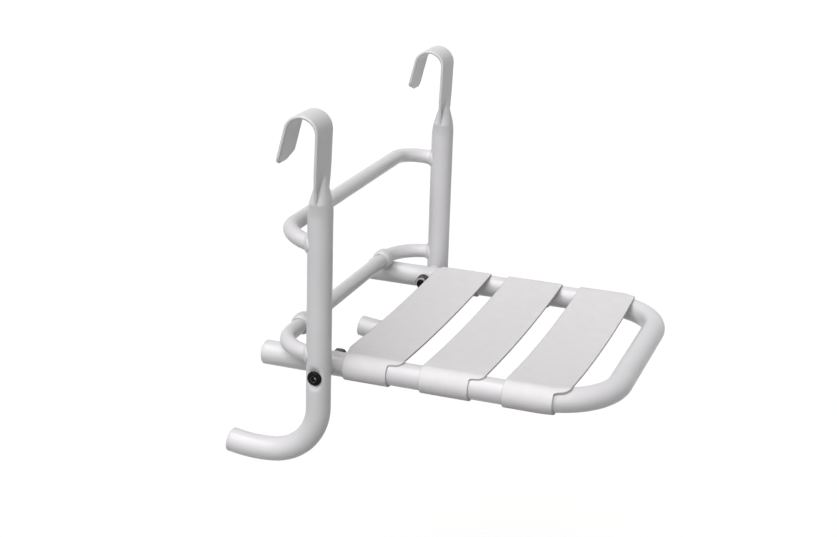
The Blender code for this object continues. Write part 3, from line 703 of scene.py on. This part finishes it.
def plug(name, end, heading, body, node, look):
    """A plug: a stem in the bore and a head over the tube's end, its rim a quarter ellipse."""
    turn = np.linspace(0.0, np.pi / 2, PLUG_STEPS)
    low = GAP + PLUG_HEAD - PLUG_ROUND
    radius = np.concatenate(
        [
            [PLUG_STEM_R - EDGE_BREAK, PLUG_STEM_R, PLUG_STEM_R, TUBE_R - EDGE_BREAK, TUBE_R],
            TUBE_R - PLUG_CUT * (1 - np.cos(turn)),
            (TUBE_R - PLUG_CUT) * np.array(PLUG_RINGS),
        ]
    )
    height = np.concatenate(
        [
            [-PLUG_STEM, -PLUG_STEM + EDGE_BREAK, GAP, GAP, GAP + EDGE_BREAK],
            low + PLUG_ROUND * np.sin(turn),
            np.full(len(PLUG_RINGS), GAP + PLUG_HEAD),
        ]
    )
    piece = shell(name, turned(radius, height, end, heading, X_AXIS))
    dress(piece, body, look, "white_plastic", node)


def plugs(look):
    """The plugs in the feet's ends and in the seat tube's rear ends."""
    foot, headings = foot_line()
    for label, side in SIDES.items():
        end = np.array((side * UPRIGHT_X, foot[-1, 0], foot[-1, 1]))
        heading = np.array((0.0, np.cos(headings[-1]), np.sin(headings[-1])))
        plug(label + "_foot_cap", end, heading, "hanger", label + "_foot_plug", look)
        end = np.array((side * SEAT_X, SEAT_REAR, 0.0))
        plug(label + "_seat_cap", end, Y_AXIS, "seat", label + "_seat_plug", look)


def saddle(radius, along_z):
    """Heights above the bolt's cross plane where a ring of this radius meets a tube."""
    turn = turns(SMALL_SIDES)
    sideways = radius * (np.cos(turn) if along_z else np.sin(turn))
    return np.sqrt((TUBE_R + GAP) ** 2 - sideways**2)


def ring_piece(name, rows, middle, axis, body, node, look, slot):
    """A looped ring about the bolt's axis. Each row is a radius and a height, even or round it."""
    heights = np.stack([np.broadcast_to(height, SMALL_SIDES) for _, height in rows])
    radii = [radius for radius, _ in rows]
    piece = shell(name, turned(radii, heights, middle, axis, Y_AXIS), looped=True)
    dress(piece, body, look, slot, node)


def spacer(label, side, look):
    """A spacer from the upright, hollowed to sit on it, to the outer bush."""
    high = INSET - BUSH_FACE - GAP
    rows = [
        (HOLE_R, saddle(HOLE_R, True)),
        (SPACER_R - EDGE_BREAK, saddle(SPACER_R - EDGE_BREAK, True)),
        (SPACER_R, saddle(SPACER_R, True) + EDGE_BREAK),
        (SPACER_R, high - EDGE_BREAK),
        (SPACER_R - EDGE_BREAK, high),
        (HOLE_R, high),
    ]
    name = label + "_spacer"
    middle = side * UPRIGHT_X * X_AXIS
    ring_piece(name + "_ring", rows, middle, -side * X_AXIS, "hanger", name, look, "white_plastic")


def bush(label, place, side, facing, look):
    """A bush with its neck in the tube's wall and its flange hollowed to sit on the tube."""
    neck = TUBE_R - BUSH_LENGTH
    rows = [
        (HOLE_R, neck),
        (BUSH_R, neck),
        (BUSH_R, saddle(BUSH_R, False)),
        (FLANGE_R - EDGE_BREAK, saddle(FLANGE_R - EDGE_BREAK, False)),
        (FLANGE_R, saddle(FLANGE_R, False) + EDGE_BREAK),
        (FLANGE_R, BUSH_FACE - EDGE_BREAK),
        (FLANGE_R - EDGE_BREAK, BUSH_FACE),
        (HOLE_R, BUSH_FACE),
    ]
    name = "%s_%s_bush" % (label, place)
    middle = side * SEAT_X * X_AXIS
    ring_piece(name + "_flange", rows, middle, facing * X_AXIS, "seat", name, look, "white_plastic")


def washer(label, side, low, look):
    """A flat washer with broken outer edges."""
    high = low + WASHER_T
    rows = [
        (HOLE_R, low),
        (WASHER_R - EDGE_BREAK, low),
        (WASHER_R, low + EDGE_BREAK),
        (WASHER_R, high - EDGE_BREAK),
        (WASHER_R - EDGE_BREAK, high),
        (HOLE_R, high),
    ]
    name = label + "_washer"
    middle = side * UPRIGHT_X * X_AXIS
    ring_piece(name + "_ring", rows, middle, -side * X_AXIS, "hanger", name, look, "plain_steel")


def hexagon(turn, flats):
    """Radius round a hexagon whose flats are this far from its middle."""
    sixth = np.pi / 3
    return flats / np.cos((turn + sixth / 2) % sixth - sixth / 2)


def nut(label, side, low, look):
    """A locking nut: a hexagon cut back by cones at both ends, and a collar that rounds inwards."""
    even = np.ones(SMALL_SIDES)
    flats = NUT_R * np.cos(np.pi / 6)
    body_h = NUT_H - NUT_COLLAR_H
    heights = np.linspace(0.0, body_h, NUT_STEPS)
    from_end = np.minimum(heights, body_h - heights)[:, None]
    six = hexagon(turns(SMALL_SIDES) + np.pi / 6, flats)
    hexed = np.minimum(six, flats + from_end / np.tan(NUT_CONE))
    dome = np.linspace(0.0, np.pi / 2, COLLAR_STEPS)
    collar_r = NUT_COLLAR_TOP_R + (flats - EDGE_BREAK - NUT_COLLAR_TOP_R) * np.cos(dome)
    collar_h = body_h + NUT_COLLAR_H * np.sin(dome)
    bore = (BOLT_R + GAP) * even
    radius = np.concatenate([hexed, collar_r[:, None] * even, [bore, bore]])
    height = low + np.concatenate([heights, collar_h, [NUT_H, 0.0]])
    rings = turned(radius, height, side * UPRIGHT_X * X_AXIS, -side * X_AXIS, Y_AXIS)
    piece = shell(label + "_lock_nut", rings, looped=True)
    dress(piece, "hanger", look, "black_steel", label + "_nut")


def bolt(label, side, nut_low, look):
    """A button-head bolt with a hexagon socket and a thread cut as a helical triangle wave."""
    turn = turns(SMALL_SIDES)
    even = np.ones(SMALL_SIDES)
    head = -(POCKET_FLOOR + GAP)
    top = head - BOLT_HEAD_H
    end = nut_low + NUT_H + BOLT_END
    dome = np.linspace(0.0, np.pi / 2, DOME_STEPS)
    dome_r = SOCKET_R + EDGE_BREAK + (BOLT_HEAD_R - SOCKET_R - EDGE_BREAK) * np.sin(dome)
    dome_h = top + (BOLT_HEAD_H - BOLT_HEAD_RIM) * (1 - np.cos(dome))
    six = hexagon(turn, SOCKET_R * np.cos(np.pi / 6))
    thread_h = np.linspace(nut_low - THREAD_PITCH, end - 2 * EDGE_BREAK, THREAD_STEPS)
    phase = (thread_h[:, None] / THREAD_PITCH - turn / (2 * np.pi)) % 1.0
    fade = np.clip((thread_h - thread_h[0]) / THREAD_PITCH, 0.0, 1.0)[:, None]
    thread_r = BOLT_R - THREAD_DEPTH * fade * np.abs(2 * phase - 1)
    shank = [BOLT_HEAD_R, BOLT_HEAD_R - EDGE_BREAK, BOLT_R, BOLT_R]
    radius = np.concatenate(
        [
            np.outer(SOCKET_RINGS, six),
            [six, six, six + EDGE_BREAK / 2],
            np.outer(dome_r, even),
            np.outer(shank, even),
            thread_r,
            np.outer(THREAD_END_RINGS, BOLT_R * even),
        ]
    )
    floor = top + SOCKET_DEPTH
    height = np.concatenate(
        [
            [floor + EDGE_BREAK, floor + EDGE_BREAK / 3, floor],
            [top + EDGE_BREAK, top + EDGE_BREAK / 4],
            dome_h,
            [head - EDGE_BREAK, head, head, thread_h[0] - EDGE_BREAK],
            thread_h,
            np.full(len(THREAD_END_RINGS), end),
        ]
    )
    rings = turned(radius, height, side * UPRIGHT_X * X_AXIS, -side * X_AXIS, Y_AXIS)
    dress(shell(label + "_bolt", rings), "hanger", look, "black_steel", label + "_pivot_bolt")


def pivots(plastic, steel, black, zinc):
    """Both pivots, stacked inwards from the upright: spacer, bushes, washer and nut on a bolt."""
    washer_low = INSET + BUSH_FACE + GAP
    nut_low = washer_low + WASHER_T + GAP
    for label, side in SIDES.items():
        spacer(label, side, plastic)
        bush(label, "outer", side, side, plastic)
        bush(label, "inner", side, -side, plastic)
        washer(label, side, washer_low, steel)
        nut(label, side, nut_low, zinc)
        bolt(label, side, nut_low, black)


class Finish:
    """A material under construction: a shader with plain values, and nodes that vary it."""

    def __init__(self, name, colour, roughness, metallic=0.0, **sockets):
        self.material = bpy.data.materials.new(name)
        self.material.use_nodes = True
        self.tree = self.material.node_tree
        self.shader = self.tree.nodes["Principled BSDF"]
        self.shader.inputs["Base Color"].default_value = (*colour, 1.0)
        self.shader.inputs["Roughness"].default_value = roughness
        self.shader.inputs["Metallic"].default_value = metallic
        for socket, value in sockets.items():
            self.shader.inputs[socket.replace("_", " ")].default_value = value
        self.coords = self.tree.nodes.new("ShaderNodeTexCoord")
        self.normal = None

    def link(self, source, target):
        """Joins a node's output to a socket."""
        self.tree.links.new(source, target)

    def place(self):
        """The object's own coordinates, apart."""
        node = self.tree.nodes.new("ShaderNodeSeparateXYZ")
        self.link(self.coords.outputs["Object"], node.inputs["Vector"])
        return node

    def noise(self, scale, detail=3.0, rough=0.5, source="Object"):
        """Cloudy noise, so many to the metre."""
        node = self.tree.nodes.new("ShaderNodeTexNoise")
        node.inputs["Scale"].default_value = scale
        node.inputs["Detail"].default_value = detail
        node.inputs["Roughness"].default_value = rough
        self.link(self.coords.outputs[source], node.inputs["Vector"])
        return node.outputs["Fac"]

    def spread(self, value, low, high, out_low=0.0, out_high=1.0):
        """Maps a value's range to another, held at both ends."""
        node = self.tree.nodes.new("ShaderNodeMapRange")
        node.inputs["From Min"].default_value = low
        node.inputs["From Max"].default_value = high
        node.inputs["To Min"].default_value = out_low
        node.inputs["To Max"].default_value = out_high
        self.link(value, node.inputs["Value"])
        return node.outputs["Result"]

    def math(self, operation, first, second=0.0):
        """One step of arithmetic on outputs or plain numbers."""
        node = self.tree.nodes.new("ShaderNodeMath")
        node.operation = operation
        for socket, value in zip(node.inputs, (first, second)):
            if isinstance(value, (int, float)):
                socket.default_value = value
            else:
                self.link(value, socket)
        return node.outputs["Value"]

    def tint(self, share, colours):
        """Base colour between two colours, by a share."""
        node = self.tree.nodes.new("ShaderNodeValToRGB")
        node.color_ramp.elements[0].color = (*colours[0], 1.0)
        node.color_ramp.elements[1].color = (*colours[1], 1.0)
        self.link(share, node.inputs["Fac"])
        self.link(node.outputs["Color"], self.shader.inputs["Base Color"])

    def roughen(self, share, low, high):
        """Roughness between two values, by a share."""
        self.link(self.spread(share, 0.0, 1.0, low, high), self.shader.inputs["Roughness"])

    def bump(self, height, distance, strength=1.0):
        """Adds relief on top of what is there already."""
        node = self.tree.nodes.new("ShaderNodeBump")
        node.inputs["Distance"].default_value = distance
        node.inputs["Strength"].default_value = strength
        self.link(height, node.inputs["Height"])
        if self.normal is not None:
            self.link(self.normal, node.inputs["Normal"])
        self.normal = node.outputs["Normal"]
        self.link(self.normal, self.shader.inputs["Normal"])


def powder_coating():
    """White powder coating: faint cloudiness and a shallow orange peel under a glossy skin."""
    gloss = {"Specular_IOR_Level": 0.5, "Coat_Weight": 0.2, "Coat_Roughness": 0.15}
    finish = Finish("white_powder_coating", (0.68, 0.675, 0.685), 0.34, **gloss)
    cloud = finish.spread(finish.noise(14.0, 4.0), 0.35, 0.65)
    finish.tint(cloud, ((0.675, 0.67, 0.68), (0.70, 0.695, 0.705)))
    finish.roughen(finish.spread(finish.noise(45.0, 5.0, 0.6), 0.3, 0.7), 0.31, 0.38)
    finish.bump(finish.noise(380.0, 1.0), 0.00005, 0.3)
    return finish.material


def moulded_plastic():
    """White moulded plastic with a fine matt grain and slow shade changes."""
    finish = Finish("white_moulded_plastic", (0.70, 0.70, 0.705), 0.42, Specular_IOR_Level=0.5)
    cloud = finish.spread(finish.noise(30.0, 3.0), 0.35, 0.65)
    finish.tint(cloud, ((0.68, 0.68, 0.685), (0.72, 0.72, 0.725)))
    finish.roughen(finish.spread(finish.noise(120.0, 3.0), 0.3, 0.7), 0.36, 0.5)
    finish.bump(finish.noise(2600.0, 2.0), 0.00004, 0.5)
    return finish.material


def webbing():
    """Close-woven webbing: a plain weave of crossing yarns, and painted shade on its edges."""
    finish = Finish("woven_strap", (0.76, 0.75, 0.75), 0.7, Sheen_Weight=0.25, Sheen_Roughness=0.5)
    cells = finish.tree.nodes.new("ShaderNodeSeparateXYZ")
    finish.link(finish.coords.outputs["UV"], cells.inputs["Vector"])
    waves = []
    for axis, yarns in (("X", 900.0), ("Y", 750.0)):
        turns_along = finish.math("MULTIPLY", cells.outputs[axis], yarns * np.pi)
        waves.append(finish.math("SINE", turns_along))
    over = finish.math("MULTIPLY", waves[0], waves[1])
    crowns = finish.math("MULTIPLY", over, over)
    fuzz = finish.noise(2200.0, 3.0, 0.6, "UV")
    weave = finish.math("ADD", crowns, finish.math("MULTIPLY", fuzz, 0.8))
    mottle = finish.spread(finish.noise(60.0, 4.0, 0.6, "UV"), 0.3, 0.7)
    light = finish.math("MULTIPLY", crowns, 0.25)
    light = finish.math("ADD", finish.math("MULTIPLY", mottle, 0.75), light)
    # Painted shade along the strap's edges, read from the mark on its rims
    edge = finish.tree.nodes.new("ShaderNodeAttribute")
    edge.attribute_name = "painted_edge_shade"
    shade = finish.math("SUBTRACT", finish.spread(light, 0.0, 1.0, 0.9, 1.0), edge.outputs["Fac"])
    finish.tint(shade, ((0.27, 0.25, 0.235), (0.79, 0.78, 0.78)))
    finish.roughen(mottle, 0.62, 0.8)
    finish.bump(weave, 0.00016, 0.55)
    finish.bump(finish.noise(25.0, 2.0, 0.5, "UV"), 0.0012, 0.1)
    return finish.material


def painted_socket_glints(finish):
    """A painted highlight: 1 at a spot on the socket's floor and a little on its rim, by the
    object's coordinates.
    """
    place = finish.place()
    ranges = []
    for spot_y, spot_z in ((0.0, 0.0), SOCKET_GLINT_SPOT):
        squares = []
        for axis, middle in (("Y", PIVOT[1] + spot_y), ("Z", PIVOT[2] + spot_z)):
            apart = finish.math("SUBTRACT", place.outputs[axis], float(middle))
            squares.append(finish.math("MULTIPLY", apart, apart))
        ranges.append(finish.math("SQRT", finish.math("ADD", squares[0], squares[1])))
    from_axis, from_spot = ranges
    spot = finish.spread(from_spot, *SPOT_FADE)
    from_rim = finish.math("ABSOLUTE", finish.math("SUBTRACT", from_axis, SOCKET_R))
    rim = finish.math("MULTIPLY", finish.spread(from_rim, *RIM_FADE), RIM_GLINT)
    from_middle = finish.math("ABSOLUTE", place.outputs["X"])
    head = finish.math("GREATER_THAN", from_middle, float(UPRIGHT_X))
    return finish.math("MULTIPLY", finish.math("MAXIMUM", spot, rim), head)


def black_steel():
    """Black oxide on the bolts, with a painted highlight of bare steel in the socket."""
    finish = Finish("black_oxide_steel", (0.003, 0.003, 0.003), 0.3, Specular_IOR_Level=0.06)
    patch = finish.spread(finish.noise(700.0, 4.0, 0.6), 0.45, 0.8)
    # Patchy tone plus the socket's painted highlight
    shade = finish.math("ADD", finish.math("MULTIPLY", patch, 0.05), painted_socket_glints(finish))
    finish.tint(shade, ((0.002, 0.002, 0.002), (0.52, 0.53, 0.52)))
    finish.roughen(patch, 0.24, 0.42)
    finish.bump(finish.noise(3500.0, 2.0), 0.00003, 0.5)
    return finish.material


def dark_zinc():
    """The nuts' dark olive passivated zinc, patchy, with a painted highlight on the collar."""
    finish = Finish("dark_passivated_zinc", (0.05, 0.052, 0.045), 0.4, 0.4, Specular_IOR_Level=0.3)
    patch = finish.spread(finish.noise(420.0, 4.0, 0.6), 0.38, 0.66)
    # A painted highlight at the collar's end, fading away from it
    collar_x = float(UPRIGHT_X - INSET - BUSH_FACE - WASHER_T - 2 * GAP - NUT_H)
    from_middle = finish.math("ABSOLUTE", finish.place().outputs["X"])
    from_collar = finish.math("SUBTRACT", from_middle, collar_x)
    collar_glint = finish.spread(from_collar, *COLLAR_FADE, 0.0, COLLAR_GLINT)
    shade = finish.math("ADD", finish.math("MULTIPLY", patch, 0.2), collar_glint)
    finish.tint(shade, ((0.012, 0.013, 0.009), (0.55, 0.56, 0.53)))
    finish.roughen(patch, 0.32, 0.55)
    finish.bump(finish.noise(3000.0, 2.0), 0.00003, 0.5)
    return finish.material


def plain_steel():
    """Turned washer steel, dull and dark, with a patchy tone."""
    finish = Finish("turned_steel", (0.06, 0.06, 0.052), 0.4, 0.4, Specular_IOR_Level=0.3)
    patch = finish.spread(finish.noise(300.0, 4.0, 0.6), 0.35, 0.7)
    finish.tint(patch, ((0.035, 0.035, 0.028), (0.09, 0.09, 0.08)))
    finish.roughen(patch, 0.28, 0.45)
    finish.bump(finish.noise(2500.0, 3.0), 0.00002, 0.4)
    return finish.material


# The photo's camera, placed from the seat's pivot
CAMERA_FROM_PIVOT = Vector((-1.6485, -0.6224, 0.6687))
CAMERA_AZIMUTH = np.radians(-70.64)
CAMERA_ELEVATION = np.radians(18.951)
CAMERA_ROLL = np.radians(1.895)
PHOTO_WIDTH = 837
FOCAL_PIXELS = 1533.9
SENSOR = 36.0

FLOOR_BELOW_SEAT = 0.46
FLOOR_SIZE = 40.0
FLOOR_COLOUR = (0.160, 0.163, 0.155)
FLOOR_LIFT = 0.87

# Lamps: strength, the direction that they shine from, and width
KEY = 2.34
KEY_FROM = (-0.36, 0.10, 0.70)
KEY_WIDTH = np.radians(60.0)
SIDE = 1.61
SIDE_FROM = (-0.90, -0.18, 0.20)
SIDE_WIDTH = np.radians(90.0)
TOP = 0.22
TOP_FROM = (-0.16, 0.31, 0.94)
TOP_WIDTH = np.radians(9.0)
LAMP_TINT = (1.0, 0.985, 1.0)
FILL = 0.05
FILL_TINT = (0.96, 1.0, 0.90)


def camera():
    """A camera at the photo's place: looking along an azimuth, down by an elevation, rolled."""
    side = Vector((np.cos(CAMERA_AZIMUTH), np.sin(CAMERA_AZIMUTH), 0.0))
    ahead = Vector(
        (
            -np.sin(CAMERA_AZIMUTH) * np.cos(CAMERA_ELEVATION),
            np.cos(CAMERA_AZIMUTH) * np.cos(CAMERA_ELEVATION),
            -np.sin(CAMERA_ELEVATION),
        )
    )
    up = side.cross(ahead)
    across = side * np.cos(CAMERA_ROLL) + up * np.sin(CAMERA_ROLL)
    rise = up * np.cos(CAMERA_ROLL) - side * np.sin(CAMERA_ROLL)
    data = bpy.data.cameras.new("photo_camera")
    data.sensor_width = SENSOR
    data.lens = SENSOR * FOCAL_PIXELS / PHOTO_WIDTH
    viewer = bpy.data.objects.new("photo_camera", data)
    viewer.matrix_world = Matrix.Translation(Vector(PIVOT) + CAMERA_FROM_PIVOT) @ (
        Matrix((across, rise, -ahead)).transposed().to_4x4()
    )
    bpy.context.scene.collection.objects.link(viewer)
    bpy.context.scene.camera = viewer


def seen_directly(tree):
    """1 for rays that show the background: from the camera, off gloss or through glass."""
    path = tree.nodes.new("ShaderNodeLightPath")
    total = path.outputs["Is Camera Ray"]
    for name in ("Is Glossy Ray", "Is Transmission Ray"):
        add = tree.nodes.new("ShaderNodeMath")
        add.operation = "MAXIMUM"
        tree.links.new(total, add.inputs[0])
        tree.links.new(path.outputs[name], add.inputs[1])
        total = add.outputs["Value"]
    return total


def studio_world():
    """Dim even light from all round, seen directly as plain white."""
    world = bpy.data.worlds.new("studio")
    world.use_nodes = True
    tree = world.node_tree
    soft = tree.nodes["Background"]
    soft.inputs["Color"].default_value = (*FILL_TINT, 1.0)
    soft.inputs["Strength"].default_value = FILL
    white = tree.nodes.new("ShaderNodeBackground")
    white.inputs["Color"].default_value = (1.0, 1.0, 1.0, 1.0)
    mix = tree.nodes.new("ShaderNodeMixShader")
    tree.links.new(seen_directly(tree), mix.inputs["Fac"])
    tree.links.new(soft.outputs["Background"], mix.inputs[1])
    tree.links.new(white.outputs["Background"], mix.inputs[2])
    tree.links.new(mix.outputs["Shader"], tree.nodes["World Output"].inputs["Surface"])
    bpy.context.scene.world = world


def studio_floor():
    """A pale floor under the seat, lifted to white where it is seen directly."""
    half = FLOOR_SIZE / 2
    z = PIVOT[2] - FLOOR_BELOW_SEAT
    mesh = bpy.data.meshes.new("studio_floor")
    corners = [(-half, -half, z), (half, -half, z), (half, half, z), (-half, half, z)]
    mesh.from_pydata(corners, [], [(0, 1, 2, 3)])
    piece = bpy.data.objects.new("studio_floor", mesh)
    bpy.context.scene.collection.objects.link(piece)
    material = bpy.data.materials.new("pale_floor")
    material.use_nodes = True
    tree = material.node_tree
    shader = tree.nodes["Principled BSDF"]
    shader.inputs["Base Color"].default_value = (*FLOOR_COLOUR, 1.0)
    shader.inputs["Roughness"].default_value = 0.9
    shader.inputs["Specular IOR Level"].default_value = 0.1
    shader.inputs["Emission Color"].default_value = (1.0, 1.0, 1.0, 1.0)
    lift = tree.nodes.new("ShaderNodeMath")
    lift.operation = "MULTIPLY"
    lift.inputs[1].default_value = FLOOR_LIFT
    tree.links.new(seen_directly(tree), lift.inputs[0])
    tree.links.new(lift.outputs["Value"], shader.inputs["Emission Strength"])
    mesh.materials.append(material)


def studio_light():
    """Far lamps: a wide one high on the left, a weaker one low there, and a narrow one overhead."""
    lamps = (
        ("key", KEY, KEY_FROM, KEY_WIDTH),
        ("side", SIDE, SIDE_FROM, SIDE_WIDTH),
        ("top", TOP, TOP_FROM, TOP_WIDTH),
    )
    for name, strength, direction, width in lamps:
        data = bpy.data.lights.new(name, "SUN")
        data.energy = strength
        data.angle = width
        data.color = LAMP_TINT
        lamp = bpy.data.objects.new(name, data)
        lamp.rotation_euler = Vector(direction).to_track_quat("Z", "Y").to_euler()
        bpy.context.scene.collection.objects.link(lamp)


coating = powder_coating()
plastic = moulded_plastic()
strap_cloth = webbing()

for label, side in SIDES.items():
    upright(label, side, coating)
    bar_sleeve(label, side, plastic)
cross_bars(coating)
seat_tube(coating)
for row, (name, sag) in enumerate(STRAP_SAGS.items()):
    strap(name, -STRAP_FIRST - row * STRAP_PITCH, sag, REAR_CUTS[name], strap_cloth)
plugs(plastic)
pivots(plastic, plain_steel(), black_steel(), dark_zinc())

camera()
studio_world()
studio_floor()
studio_light()
bpy.context.scene.view_settings.view_transform = "Standard"
